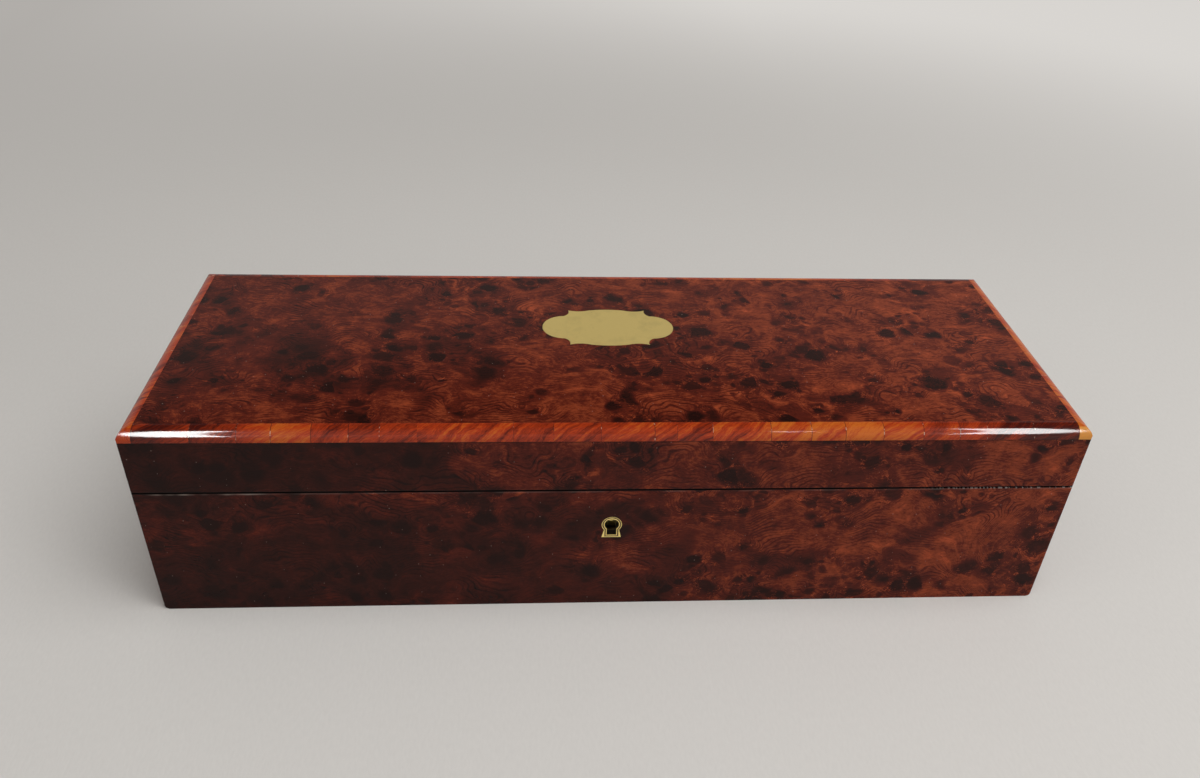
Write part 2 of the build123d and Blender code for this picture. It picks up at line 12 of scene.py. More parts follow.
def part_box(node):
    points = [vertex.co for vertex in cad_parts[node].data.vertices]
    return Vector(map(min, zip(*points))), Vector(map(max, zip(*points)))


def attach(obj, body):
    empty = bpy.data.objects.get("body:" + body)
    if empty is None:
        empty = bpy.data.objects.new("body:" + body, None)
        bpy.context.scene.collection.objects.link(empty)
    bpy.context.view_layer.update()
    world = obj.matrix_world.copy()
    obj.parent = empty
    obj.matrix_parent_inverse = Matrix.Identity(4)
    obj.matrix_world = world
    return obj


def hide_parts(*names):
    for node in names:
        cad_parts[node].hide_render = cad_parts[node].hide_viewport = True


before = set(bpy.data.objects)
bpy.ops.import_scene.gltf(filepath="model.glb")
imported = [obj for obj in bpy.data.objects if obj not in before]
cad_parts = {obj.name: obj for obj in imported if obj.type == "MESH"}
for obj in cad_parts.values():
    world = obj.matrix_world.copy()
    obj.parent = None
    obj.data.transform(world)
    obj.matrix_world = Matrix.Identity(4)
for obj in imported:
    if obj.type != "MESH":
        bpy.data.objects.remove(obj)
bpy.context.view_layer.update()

bl_info = {
    "name": "Glove Box Finish",
    "version": (1, 0, 0),
    "blender": (4, 5, 0),
    "location": "3D View > Sidebar > Glove Box",
    "description": "Finishes a veneered glove box with its lock, hinges and quilted lining",
    "category": "Object",
}

MM = 0.001
RIM_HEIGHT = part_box("front_veneer")[1].z
EDGING_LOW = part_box("front_edging")[0].z


# Node trees written as expressions

class Value:
    """A number in a material's node tree; arithmetic on it adds the Math nodes."""

    def __init__(self, finish, socket):
        self.finish = finish
        self.socket = socket

    def math(self, operation, *values):
        inputs = dict(enumerate((self, *values)))
        node = self.finish.node("ShaderNodeMath", {"operation": operation}, inputs)
        return Value(self.finish, node.outputs[0])

    def reflected(self, operation, other):
        node = self.finish.node("ShaderNodeMath", {"operation": operation}, {0: other, 1: self})
        return Value(self.finish, node.outputs[0])

    def __add__(self, other):
        return self.math("ADD", other)

    __radd__ = __add__

    def __mul__(self, other):
        return self.math("MULTIPLY", other)

    __rmul__ = __mul__

    def __sub__(self, other):
        return self.math("SUBTRACT", other)

    def __rsub__(self, other):
        return self.reflected("SUBTRACT", other)

    def __truediv__(self, other):
        return self.math("DIVIDE", other)

    def __pow__(self, other):
        return self.math("POWER", other)

    def wave(self):
        """A sine of this value, from 0 to 1."""
        return self.math("SINE") * 0.5 + 0.5

    def step(self, low, high):
        """Rises smoothly from 0 at low to 1 at high; falls where low is above high."""
        settings = {"interpolation_type": "SMOOTHSTEP"}
        if low > high:
            return 1 - self.step(high, low)
        node = self.finish.node("ShaderNodeMapRange", settings, {0: self, 1: low, 2: high, 3: 0.0, 4: 1.0})
        return Value(self.finish, node.outputs[0])

    def largest(self, other):
        return self.math("MAXIMUM", other)

    def smallest(self, other):
        return self.math("MINIMUM", other)


class Finish:
    """The node tree of a material or of the world, and the few calls that the finishes are written with."""

    def __init__(self, name, owner=None):
        self.material = owner or bpy.data.materials.new(name)
        self.material.use_nodes = True
        self.tree = self.material.node_tree
        self.tree.nodes.clear()

    def node(self, kind, settings, inputs):
        """Adds a node, sets its settings, then sets or links its sockets by index or name."""
        node = self.tree.nodes.new(kind)
        for key, value in settings.items():
            if key == "stops":
                self.set_stops(node.color_ramp, value)
            else:
                setattr(node, key, value)
        for key, value in inputs.items():
            socket = node.inputs[key]
            source = value.socket if isinstance(value, Value) else value
            if isinstance(source, bpy.types.NodeSocket):
                self.tree.links.new(source, socket)
            else:
                socket.default_value = source
        return node

    def set_stops(self, ramp, stops):
        while len(ramp.elements) < len(stops):
            ramp.elements.new(0.5)
        for element, (place, colour) in zip(ramp.elements, stops):
            element.position = place
            element.color = (*colour, 1.0)

    def place(self):
        """The point on the object in millimetres, in the box's own frame."""
        coordinates = self.node("ShaderNodeTexCoord", {}, {})
        return self.scaled(coordinates.outputs["Object"], 1 / MM)

    def scaled(self, vector, factor):
        node = self.node("ShaderNodeVectorMath", {"operation": "SCALE"}, {0: vector, "Scale": factor})
        return node.outputs[0]

    def vectors(self, operation, first, second):
        node = self.node("ShaderNodeVectorMath", {"operation": operation}, {0: first, 1: second})
        return node.outputs[0]

    def parts(self, vector):
        node = self.node("ShaderNodeSeparateXYZ", {}, {0: vector})
        return [Value(self, socket) for socket in node.outputs]

    def combined(self, x, y, z):
        return self.node("ShaderNodeCombineXYZ", {}, {0: x, 1: y, 2: z}).outputs[0]

    def noise(self, vector, size, detail=2.0, rough=0.5):
        """Noise from 0 to 1 whose lumps are about size across, in the vector's unit."""
        inputs = {"Vector": vector, "Scale": 1 / size, "Detail": detail, "Roughness": rough}
        node = self.node("ShaderNodeTexNoise", {"noise_dimensions": "3D"}, inputs)
        return Value(self, node.outputs[0])

    def drift(self, vector, size, reach, detail=1.0):
        """The vector, pushed aside by up to about reach in lumps of size."""
        inputs = {"Vector": vector, "Scale": 1 / size, "Detail": detail, "Roughness": 0.5}
        node = self.node("ShaderNodeTexNoise", {"noise_dimensions": "3D"}, inputs)
        centred = self.vectors("SUBTRACT", node.outputs[1], (0.5, 0.5, 0.5))
        return self.vectors("ADD", vector, self.scaled(centred, 2 * reach))

    def cells(self, vector, size, feature="F1", dimensions="3D"):
        """Voronoi cells about size across: the distance in cells, and a random value for each cell."""
        settings = {"voronoi_dimensions": dimensions, "feature": feature}
        if dimensions == "1D":
            node = self.node("ShaderNodeTexVoronoi", settings, {"W": vector, "Scale": 1 / size})
        else:
            node = self.node("ShaderNodeTexVoronoi", settings, {"Vector": vector, "Scale": 1 / size})
        return Value(self, node.outputs[0]), node.outputs[1]

    def colour_ramp(self, value, stops):
        return self.node("ShaderNodeValToRGB", {"stops": stops}, {0: value}).outputs[0]

    def mixed(self, factor, first, second):
        """Two colours, mixed by a value."""
        settings = {"data_type": "RGBA"}
        first = (*first, 1.0) if isinstance(first, tuple) else first
        second = (*second, 1.0) if isinstance(second, tuple) else second
        return self.node("ShaderNodeMix", settings, {0: factor, 6: first, 7: second}).outputs[2]

    def bump(self, height, depth, strength=1.0):
        """A normal from a height between 0 and 1 that stands for a relief of depth millimetres."""
        inputs = {"Strength": strength, "Distance": depth * MM, "Height": height}
        return self.node("ShaderNodeBump", {}, inputs).outputs[0]

    def finish(self, **inputs):
        """Ends the tree in a Principled shader; sockets are given by name, with words joined by _."""
        shader = self.surface(**inputs)
        self.node("ShaderNodeOutputMaterial", {}, {"Surface": shader})
        return self.material

    def surface(self, **inputs):
        sockets = {name.replace("_", " "): value for name, value in inputs.items()}
        return self.node("ShaderNodeBsdfPrincipled", {}, sockets).outputs[0]


# Sizes and colours that a user may change

class WoodSettings(bpy.types.PropertyGroup):
    """The colours of the veneer, edging and boards."""

    burl_shadow: FloatVectorProperty(
        name="Burl shadow", description="Colour of the dark eyes in the burl",
        subtype="COLOR", default=(0.011, 0.0028, 0.0019),
    )
    burl_body: FloatVectorProperty(
        name="Burl body", description="Main red-brown of the burl",
        subtype="COLOR", default=(0.09, 0.0118, 0.0056),
    )
    burl_flame: FloatVectorProperty(
        name="Burl flame", description="Lightest orange-red streaks of the burl",
        subtype="COLOR", default=(0.21, 0.037, 0.0125),
    )
    edging_light: FloatVectorProperty(
        name="Edging light", description="Orange ground of the cross-grained edging",
        subtype="COLOR", default=(0.35, 0.033, 0.0045),
    )
    edging_dark: FloatVectorProperty(
        name="Edging dark", description="Dark figure of the cross-grained edging",
        subtype="COLOR", default=(0.045, 0.0035, 0.0015),
    )
    board: FloatVectorProperty(
        name="Board", description="Planed wood of the boards under the veneer",
        subtype="COLOR", default=(0.34, 0.19, 0.095),
    )


class MetalSettings(bpy.types.PropertyGroup):
    """The colours of the brass and the steel."""

    brass: FloatVectorProperty(
        name="Brass", description="Dull, slightly pale brass",
        subtype="COLOR", default=(0.82, 0.63, 0.22),
    )
    steel: FloatVectorProperty(
        name="Steel", description="Dull steel of the bolt, spring and pins",
        subtype="COLOR", default=(0.36, 0.36, 0.37),
    )


class LiningSettings(bpy.types.PropertyGroup):
    """The colour of the satin lining."""

    satin: FloatVectorProperty(
        name="Satin", description="Champagne satin of the lining",
        subtype="COLOR", default=(0.74, 0.62, 0.43),
    )


class StageSettings(bpy.types.PropertyGroup):
    """The floor, the room round it and the camera."""

    cloth: FloatVectorProperty(
        name="Cloth", description="Pale grey of the floor",
        subtype="COLOR", default=(0.68, 0.658, 0.63),
    )
    room: FloatProperty(
        name="Room", description="How pale the room behind the floor is; 1 is white",
        subtype="FACTOR", min=0.0, max=1.0, default=0.6,
    )
    picture_width: IntProperty(
        name="Picture width", description="Width of the picture that the camera is matched to",
        subtype="PIXEL", default=1200,
    )
    focal_pixels: FloatProperty(
        name="Focal length in pixels", description="Focal length of the camera in pixels of that picture",
        default=992.3,
    )
    camera_place: FloatVectorProperty(
        name="Camera place", description="Where the camera stands, from the middle of the box's underside",
        subtype="XYZ", unit="LENGTH", default=(-26.72 * MM, -291.57 * MM, 254.73 * MM),
    )
    camera_pitch: FloatProperty(
        name="Camera pitch", description="How far the camera looks down",
        subtype="ANGLE", default=math.radians(34.39),
    )
    camera_yaw: FloatProperty(
        name="Camera yaw", description="How far the camera is turned to the right",
        subtype="ANGLE", default=math.radians(4.71),
    )
    camera_roll: FloatProperty(
        name="Camera roll", description="How far the camera is tilted about its view",
        subtype="ANGLE", default=math.radians(2.63),
    )


# Helpers for nodes and new pieces

def give(material, *nodes):
    """Puts a material on CAD nodes."""
    for name in nodes:
        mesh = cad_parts[name].data
        mesh.materials.clear()
        mesh.materials.append(material)


def new_piece(name, mesh, material, body):
    """Links a mesh as a piece that rides on a body."""
    piece = bpy.data.objects.new(name, mesh)
    bpy.context.scene.collection.objects.link(piece)
    mesh.materials.append(material)
    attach(piece, body)
    return piece


# Woods

def burl(name, axes, seed=0.0, level=0.55, clouds=0.5, painted_light_slope=0.0005, upright=True, crotch=None):
    """Burl veneer cut in the plane of two axes: growth lines that swirl round clusters of dark knots.

    level is the mean tone from 0 to 1, clouds the share of it that lies in shade, and painted_light_slope how
    much lighter the veneer is painted with each millimetre to the right, as painted light for the light that
    falls from the right. A crotch is a place, with its reach, that the growth lines ring.
    """
    colours = bpy.context.scene.glove_box_woods
    f = Finish(name)
    parts = f.parts(f.place())
    u, v = parts[axes[0]], parts[axes[1]]
    sheet = f.combined(u, v, seed)
    lazy = f.drift(f.vectors("MULTIPLY", sheet, (0.62, 1.0, 1.0)), 40, 13)
    lumpy = f.vectors("MULTIPLY", f.drift(f.drift(sheet, 9, 2.6), 2.4, 0.6), (0.9, 1.0, 1.0))
    ragged = f.drift(lumpy, 1.1, 0.35)

    # knots gather in clusters; each is round and soft, and its inside is nearly black
    cluster_field = f.noise(f.drift(sheet, 12, 5), 21, detail=1.6, rough=0.5)
    cluster = cluster_field.step(0.475, 0.55)
    knot_distance, knot_random = f.cells(lumpy, 8.2, dimensions="2D")
    knot_presence, knot_size, knot_shade = f.parts(knot_random)
    knotted = (knot_presence.step(0.24, 0.3) * cluster).largest(knot_presence.step(0.92, 0.94))
    knot_edge = knot_distance / (0.14 + knot_size * 0.27)
    knot = knot_edge.step(1.4, 0.75) * knotted * (0.6 + knot_shade * 0.4)
    eye_distance, eye_random = f.cells(ragged, 3.9, dimensions="2D")
    eye_presence, eye_size, eye_shade = f.parts(eye_random)
    eyed = eye_presence.step(0.5, 0.58) * cluster
    eye_edge = eye_distance / (0.15 + eye_size * 0.2)
    eye = eye_edge.step(1.6, 0.5) * eyed * (0.4 + eye_shade * 0.6)
    pith = eye_edge.step(0.4, 0.1) * eyed * eye_size.step(0.5, 0.8)

    # light threads of torn fibre lie between the knots
    drawn_out = f.vectors("MULTIPLY", f.drift(sheet, 3, 1.8), (0.7, 1.0, 1.0))
    torn = f.noise(drawn_out, 1.25, detail=2.0, rough=0.6)
    thread = (torn - 0.5).math("ABSOLUTE").step(0.04, 0.005) * f.noise(ragged, 2.6).step(0.46, 0.6)
    between = knot_edge.step(3.0, 1.5) * knot_edge.step(0.5, 0.9) * knotted
    # painted shade: the threads are painted dimmer towards the left, where less light falls
    thread = thread * between.largest(cluster * 0.4) * (0.8 + u * painted_light_slope * 3).smallest(1.0)

    # growth lines are the contours of a field that the knots dent
    dent = knot_distance.step(0.95, 0.1) * knotted
    field = v * 0.026 + f.noise(lazy, 36, detail=2.0, rough=0.4) * 1.1 + cluster_field * 0.6 + dent * 0.12
    line_mask = f.noise(sheet, 15, detail=1.0).step(0.4, 0.62)
    if crotch:
        middle_u, middle_v, reach = crotch
        away = ((u - middle_u) ** 2.0 + (v - middle_v) ** 2.0 * 1.6) ** 0.5
        swirl = (away + f.noise(sheet, 14, detail=2.0) * 9).step(reach, 6)
        field = field + swirl * 2.1
        line_mask = line_mask.largest(swirl.step(0.05, 0.3))
    lines = (field * 150 + f.noise(sheet, 9) * 3).wave() ** 4.0 * line_mask.largest(dent * 0.8)
    thin_lines = (field * 300 + f.noise(sheet, 6) * 5).wave() ** 2.0
    sweep = (field * 34 + 0.6).wave()

    # fibres and short pores lie along the growth lines
    along = u * 0.16 + f.noise(sheet, 22) * 2
    fibres = f.noise(f.combined(along, field * 62, seed), 1.0, detail=3.0, rough=0.68)
    threads = f.noise(f.combined(u * 0.34 + v * 0.1, field * 170, seed + 3), 1.0, detail=2.0, rough=0.6)
    pores = f.noise(f.combined(u * 0.55, v * 2.8 + field * 9, seed), 1.0, detail=1.0).step(0.6, 0.74)
    cloud = f.noise(f.drift(lazy, 30, 16), 44, detail=3.0, rough=0.62)
    flame = f.noise(f.combined(u * 0.05, field * 6.5, seed + 7), 1.0, detail=3.0, rough=0.55).step(0.5, 0.72)
    mottle = f.noise(f.drift(sheet, 8, 3), 6.5, detail=4.0, rough=0.62)
    grit = f.noise(f.vectors("MULTIPLY", ragged, (0.5, 1.0, 1.0)), 0.8, detail=3.0, rough=0.72)

    # painted light: towards the right the veneer is painted lighter and its dark clouds fewer, for the light
    # that falls from the right
    dark_cloud = (cloud + u * painted_light_slope * 0.8).step(clouds, clouds - 0.12)
    stain = cluster * (0.3 + 0.9 * mottle) * knot_edge.step(3.4, 1.2)
    tone = level + (sweep - 0.5) * 0.06 + (mottle - 0.5) * 0.85 + (fibres - 0.5) * 0.4 + (threads - 0.5) * 0.4
    tone = tone + (grit - 0.5) * 0.74 + flame * 0.2 - lines * 0.3 - (thin_lines - 0.4) * 0.06 - pores * 0.12
    tone = (tone + u * painted_light_slope) * (1 - stain * 0.45) * (1 - dark_cloud * 0.5)
    tone = tone * (1 - knot * 0.93) * (1 - eye * 0.75)
    tone = tone + thread * (0.3 + mottle * 0.6) * (1 - dark_cloud * 0.7) + pith * 0.07

    shadow = tuple(colours.burl_shadow)
    body = tuple(colours.burl_body)
    bright = tuple(colours.burl_flame)
    dusk = tuple(0.68 * s + 0.32 * b for s, b in zip(shadow, body))
    glow = tuple(1.7 * c for c in bright)
    stops = [(0.0, shadow), (0.22, dusk), (0.5, body), (0.76, bright), (1.0, glow)]
    colour = f.colour_ramp(tone, stops)

    # dust that the varnish has caught; along the rim worn varnish, painted shadow in the seam and painted
    # shade under the edging
    dust_distance, dust_random = f.cells(sheet, 4.0, dimensions="2D")
    dust_presence, dust_size, _ = f.parts(dust_random)
    dust = (dust_distance / (0.02 + dust_size * 0.025)).step(1.3, 0.6) * dust_presence.step(0.84, 0.86)
    colour = f.mixed(dust * 0.36, colour, (0.5, 0.36, 0.3))
    if upright:
        colour = seam_wear_and_shadow(f, u, v, colour)
    height = fibres * 0.5 - eye * 0.6 - pores * 0.5
    ripple = f.noise(sheet, 11, detail=1.0)
    normal = f.bump(height * 0.4 + ripple, 0.03, 0.5)
    roughness = 0.36 + (mottle - 0.5) * 0.1 + eye * 0.06
    return f.finish(
        Base_Color=colour, Roughness=roughness, Normal=normal, Specular_IOR_Level=0.0,
        Coat_Weight=0.3, Coat_Roughness=0.11,
    )


def seam_wear_and_shadow(f, u, v, colour):
    """Painted shadow in the seam and painted shade under the edging, and the arris below the seam that hands
    have rubbed pale.
    """
    seam = RIM_HEIGHT / MM + 0.2
    wander = f.noise(f.combined(u, 0.0, 0.0), 3.0, detail=3.0)
    below = v + wander * 0.3
    rubbed = below.step(seam - 0.85, seam - 0.62) * below.step(seam - 0.14, seam - 0.26)
    patches = f.noise(f.combined(u, 3.0, 0.0), 12).step(0.4, 0.62)
    colour = f.mixed(rubbed * patches * (u.step(-108, -118) * 0.6 + 0.07), colour, (0.5, 0.42, 0.36))
    chipped = below.step(seam - 0.4, seam - 0.3) * below.step(seam + 0.05, seam - 0.1)
    chipped = chipped * f.noise(f.combined(u, 7.0, 0.0), 0.8, detail=1.0).step(0.52, 0.6) * u.step(96, 120)
    # painted shadow: the seam gap and a line under the edging are painted nearly black, for the shade that
    # falls there
    seam_shadow = (v - seam).math("ABSOLUTE").step(0.46, 0.3)
    under = (v - EDGING_LOW / MM).math("ABSOLUTE").step(0.4, 0.12) * (0.5 + wander * 0.6)
    colour = f.mixed(seam_shadow.largest(under * 0.8), colour, (0.004, 0.002, 0.0015))
    return f.mixed(chipped * 0.42, colour, (0.62, 0.55, 0.5))


def edging_wood(name, axis):
    """Cross-grained rosewood in short lengths: slanting dark figure, fine pores and hairline joints."""
    colours = bpy.context.scene.glove_box_woods
    light = tuple(colours.edging_light)
    dark = tuple(colours.edging_dark)
    f = Finish(name)
    place = f.place()
    parts = f.parts(place)
    along = parts[axis]
    across = parts[2] - parts[1 - axis].math("ABSOLUTE")
    length = 12.5
    _, piece_random = f.cells(along + 31.0, length, dimensions="1D")
    joint, _ = f.cells(along + 31.0, length, feature="DISTANCE_TO_EDGE", dimensions="1D")
    tint, slant, shade = f.parts(piece_random)
    leaning = along - across * (0.5 + slant * 0.9) + f.noise(place, 6, detail=2.0) * 4.5
    figure_place = f.combined(leaning, across * 0.16, tint * 3)
    figure = f.noise(figure_place, 8.5, detail=3.0, rough=0.6)
    veins = f.noise(figure_place, 2.1, detail=2.0, rough=0.6)
    threads = f.noise(f.combined(leaning, across * 0.1, 4.0), 0.42, detail=1.0)
    pores = f.noise(f.combined(leaning * 1.2, across * 0.5, 8.0), 0.5, detail=2.0)
    broad = f.noise(f.combined(along, 0.0, 2.0), 42, detail=1.0)
    tone = 0.5 + (figure - 0.5) * 1.5 + (veins - 0.5) * 0.9 + (threads - 0.5) * 0.5 + (pores - 0.5) * 0.7
    tone = tone + (shade - 0.5) * 0.12 + (broad - 0.5) * 0.9
    if axis == 0:
        light_stretch = (along - 72).math("ABSOLUTE").step(44, 14)
        dark_ends = along.math("ABSOLUTE").step(102, 124)
        tone = tone + light_stretch * 0.27 - dark_ends * 0.3
    else:
        tone = tone + 0.08 + parts[0].step(0, 1) * 0.22
    vein = (figure * 9 + veins * 2.0).wave().step(0.72, 0.97)
    tone = tone - vein * 0.5
    rust = tuple(0.36 * a + 0.64 * b for a, b in zip(light, dark))
    honey = (light[0] * 1.4, light[1] * 3.4, light[2] * 2.6)
    stops = [(0.0, dark), (0.28, rust), (0.6, light), (1.0, honey)]
    colour = f.colour_ramp(tone, stops)
    if axis == 1:
        front_end = along.step(-48.6, -49.2) * parts[0].step(0, 1)
        colour = f.mixed(front_end * 0.85, colour, (0.62, 0.27, 0.05))
    crack = joint.step(0.014, 0.005) * tint.step(0.2, 0.3)
    chips = crack * f.noise(place, 1.3).step(0.56, 0.64)
    colour = f.mixed(crack * 0.7, colour, (0.03, 0.006, 0.004))
    colour = f.mixed(chips * 0.8, colour, (0.6, 0.4, 0.28))
    normal = f.bump(threads * 0.12 - crack, 0.05, 0.6)
    return f.finish(
        Base_Color=colour, Roughness=0.45 + (veins - 0.5) * 0.12, Normal=normal, Specular_IOR_Level=0.04,
        Coat_Weight=0.5, Coat_Roughness=0.06,
    )


def board_wood(name, axis):
    """Planed carcass wood with its grain along an axis, with painted shade that blackens it inside the
    keyhole.
    """
    colour = tuple(bpy.context.scene.glove_box_woods.board)
    f = Finish(name)
    place = f.place()
    stretch = [1.0, 1.0, 1.0]
    stretch[axis] = 0.06
    grain_place = f.vectors("MULTIPLY", f.drift(place, 60, 3), tuple(stretch))
    rings = (f.noise(grain_place, 9, detail=2.0) * 60).wave()
    pores = f.noise(grain_place, 0.5, detail=2.0)
    tone = 0.5 + (rings - 0.5) * 0.4 + (pores - 0.5) * 0.5 + (f.noise(place, 40) - 0.5) * 0.4
    darker = tuple(0.45 * c for c in colour)
    lighter = tuple(min(1, 1.4 * c) for c in colour)
    grain = f.colour_ramp(tone, [(0.0, darker), (0.5, colour), (1.0, lighter)])
    ring_low, ring_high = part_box("keyhole_ring")
    keyhole = 0.5 * (ring_low + ring_high) / MM
    x, y, z = f.parts(place)
    near = ((x - keyhole.x) ** 2.0 + (z - keyhole.z) ** 2.0) ** 0.5
    # painted shade: round the keyhole the boards are painted nearly black inside it
    keyhole_shade = near.step(7.5, 5.5) * y.step(0, -1)
    grain = f.mixed(keyhole_shade, grain, (0.012, 0.008, 0.006))
    normal = f.bump(pores * 0.4 + rings * 0.2, 0.08, 0.6)
    roughness = 0.62 + (pores - 0.5) * 0.2
    return f.finish(Base_Color=grain, Roughness=roughness, Normal=normal, Specular_IOR_Level=0.3)


# Metals

def brass(name, dull=0.0):
    """Aged brass: fine brushing along the box, cloudy tarnish and dark specks."""
    colour = tuple(bpy.context.scene.glove_box_metals.brass)
    f = Finish(name)
    place = f.place()
    brushing = f.noise(f.vectors("MULTIPLY", place, (0.08, 1.0, 1.0)), 0.12, detail=2.0)
    cloud = f.noise(place, 7, detail=4.0, rough=0.6)
    speck_distance, speck_random = f.cells(place, 2.6)
    speck_presence, speck_size, _ = f.parts(speck_random)
    specks = (speck_distance / (0.05 + speck_size * 0.08)).step(1.0, 0.6) * speck_presence.step(0.7, 0.75)
    tarnish = cloud.step(0.45, 0.75) * 0.2 + specks * 0.25 + dull
    tone = f.mixed(tarnish, colour, tuple(0.42 * c for c in colour))
    normal = f.bump(brushing * 0.6 + cloud * 0.4, 0.02, 0.5)
    roughness = 0.46 + (brushing - 0.5) * 0.2 + tarnish * 0.15
    return f.finish(Base_Color=tone, Metallic=0.72, Roughness=roughness, Normal=normal)


def lock_brass_in_painted_shade(name):
    """Brass inside the lock, painted dark brown as painted shade for the dark behind the keyhole."""
    f = Finish(name)
    place = f.place()
    # painted shade: the whole brass is painted dark; this noise only mottles it
    dust = f.noise(place, 2.5, detail=4.0, rough=0.65)
    tone = f.mixed(dust.step(0.35, 0.75), (0.05, 0.032, 0.013), (0.16, 0.11, 0.045))
    return f.finish(Base_Color=tone, Metallic=0.6, Roughness=0.5 + dust * 0.2, Normal=f.bump(dust, 0.05, 0.5))


def ring_brass(name):
    """Brass of the keyhole's ring: two rubbed edges, a dirty groove between them and a bore painted dark as
    painted shade.
    """
    low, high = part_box("keyhole_ring")
    wall, head_radius, half_slot, drop = 0.9, 2.4, 1.6, 4.5
    f = Finish(name)
    place = f.place()
    x, y, z = f.parts(place)
    aside = (x - 0.5 * (low.x + high.x) / MM).math("ABSOLUTE")
    above = z - (high.z / MM - wall - head_radius)
    head = (aside * aside + above * above) ** 0.5 - head_radius
    slot = (aside - half_slot).largest(above).largest(0 - above - drop)
    edge = head.smallest(slot)
    grime = f.noise(place, 0.8, detail=3.0)
    groove = (edge - wall * 0.52).math("ABSOLUTE").step(0.34, 0.14) * (0.7 + grime * 0.5)
    # painted shade: inside the bore the ring is painted nearly black
    bore = y.step(low.y / MM + 0.1, low.y / MM + 0.3)
    bright = tuple(min(1.0, 1.15 * c) for c in bpy.context.scene.glove_box_metals.brass)
    tone = f.mixed(groove, bright, (0.07, 0.04, 0.016))
    tone = f.mixed(bore, tone, (0.02, 0.013, 0.008))
    normal = f.bump(0 - groove, 0.12, 0.8)
    return f.finish(Base_Color=tone, Metallic=0.6, Roughness=0.34 + grime * 0.2, Normal=normal)


def steel(name):
    """Dull filed steel with a little rust."""
    colour = tuple(bpy.context.scene.glove_box_metals.steel)
    f = Finish(name)
    place = f.place()
    filing = f.noise(f.vectors("MULTIPLY", place, (1.0, 1.0, 0.1)), 0.15, detail=2.0)
    rust = f.noise(place, 3, detail=4.0, rough=0.65).step(0.55, 0.75)
    tone = f.mixed(rust * 0.6, colour, (0.12, 0.05, 0.025))
    roughness = 0.4 + filing * 0.15 + rust * 0.25
    return f.finish(Base_Color=tone, Metallic=0.95, Roughness=roughness, Normal=f.bump(filing, 0.02, 0.5))


# Cloth

def satin(name):
    """Satin: a very fine weave, soft pulls in the cloth with painted shade along them, and a little
    yellowing.
    """
    colour = tuple(bpy.context.scene.glove_box_lining.satin)
    f = Finish(name)
    place = f.place()
    x, y, z = f.parts(place)
    weave = ((x + z * 0.5) * 14).wave() * 0.5 + ((y + z * 0.5) * 14).wave() * 0.5
    pulls = f.noise(f.vectors("MULTIPLY", f.drift(place, 18, 4), (0.22, 1.0, 1.0)), 1.6, detail=2.0)
    age = f.noise(place, 30, detail=4.0, rough=0.6)
    tone = f.mixed(age.step(0.42, 0.75) * 0.35, colour, (0.52, 0.37, 0.2))
    # painted shade: the cloth is painted darker along the pulls
    tone = f.mixed((pulls - 0.5).math("ABSOLUTE") * 0.5, tone, tuple(0.75 * c for c in colour))
    normal = f.bump(weave * 0.12 + pulls * 0.9, 0.12, 0.5)
    return f.finish(
        Base_Color=tone, Roughness=0.42 + (age - 0.5) * 0.1, Normal=normal, Specular_IOR_Level=0.5,
        Sheen_Weight=0.25, Sheen_Roughness=0.35,
    )


# Padded satin, built flat, stuffed by a cloth simulation and put in its place

CLOTH_SCALE = 10.0
CLOTH_FRAMES = 20


def graded(length, cell, edge=(0.0, 0.35, 1.0, 2.0)):
    """Places along a side in millimetres: close together at both ends, then evenly spaced."""
    inner = length - 2 * edge[-1]
    count = max(2, round(inner / cell))
    middle = [edge[-1] + inner * i / count for i in range(1, count)]
    return [*edge, *middle, *(length - e for e in reversed(edge))]


def distance_to_run(point, run):
    """How far a point is from a straight run between two points."""
    (px, py), ((ax, ay), (bx, by)) = point, run
    dx, dy = bx - ax, by - ay
    along = ((px - ax) * dx + (py - ay) * dy) / (dx * dx + dy * dy)
    along = min(1.0, max(0.0, along))
    return math.hypot(px - ax - along * dx, py - ay - along * dy)


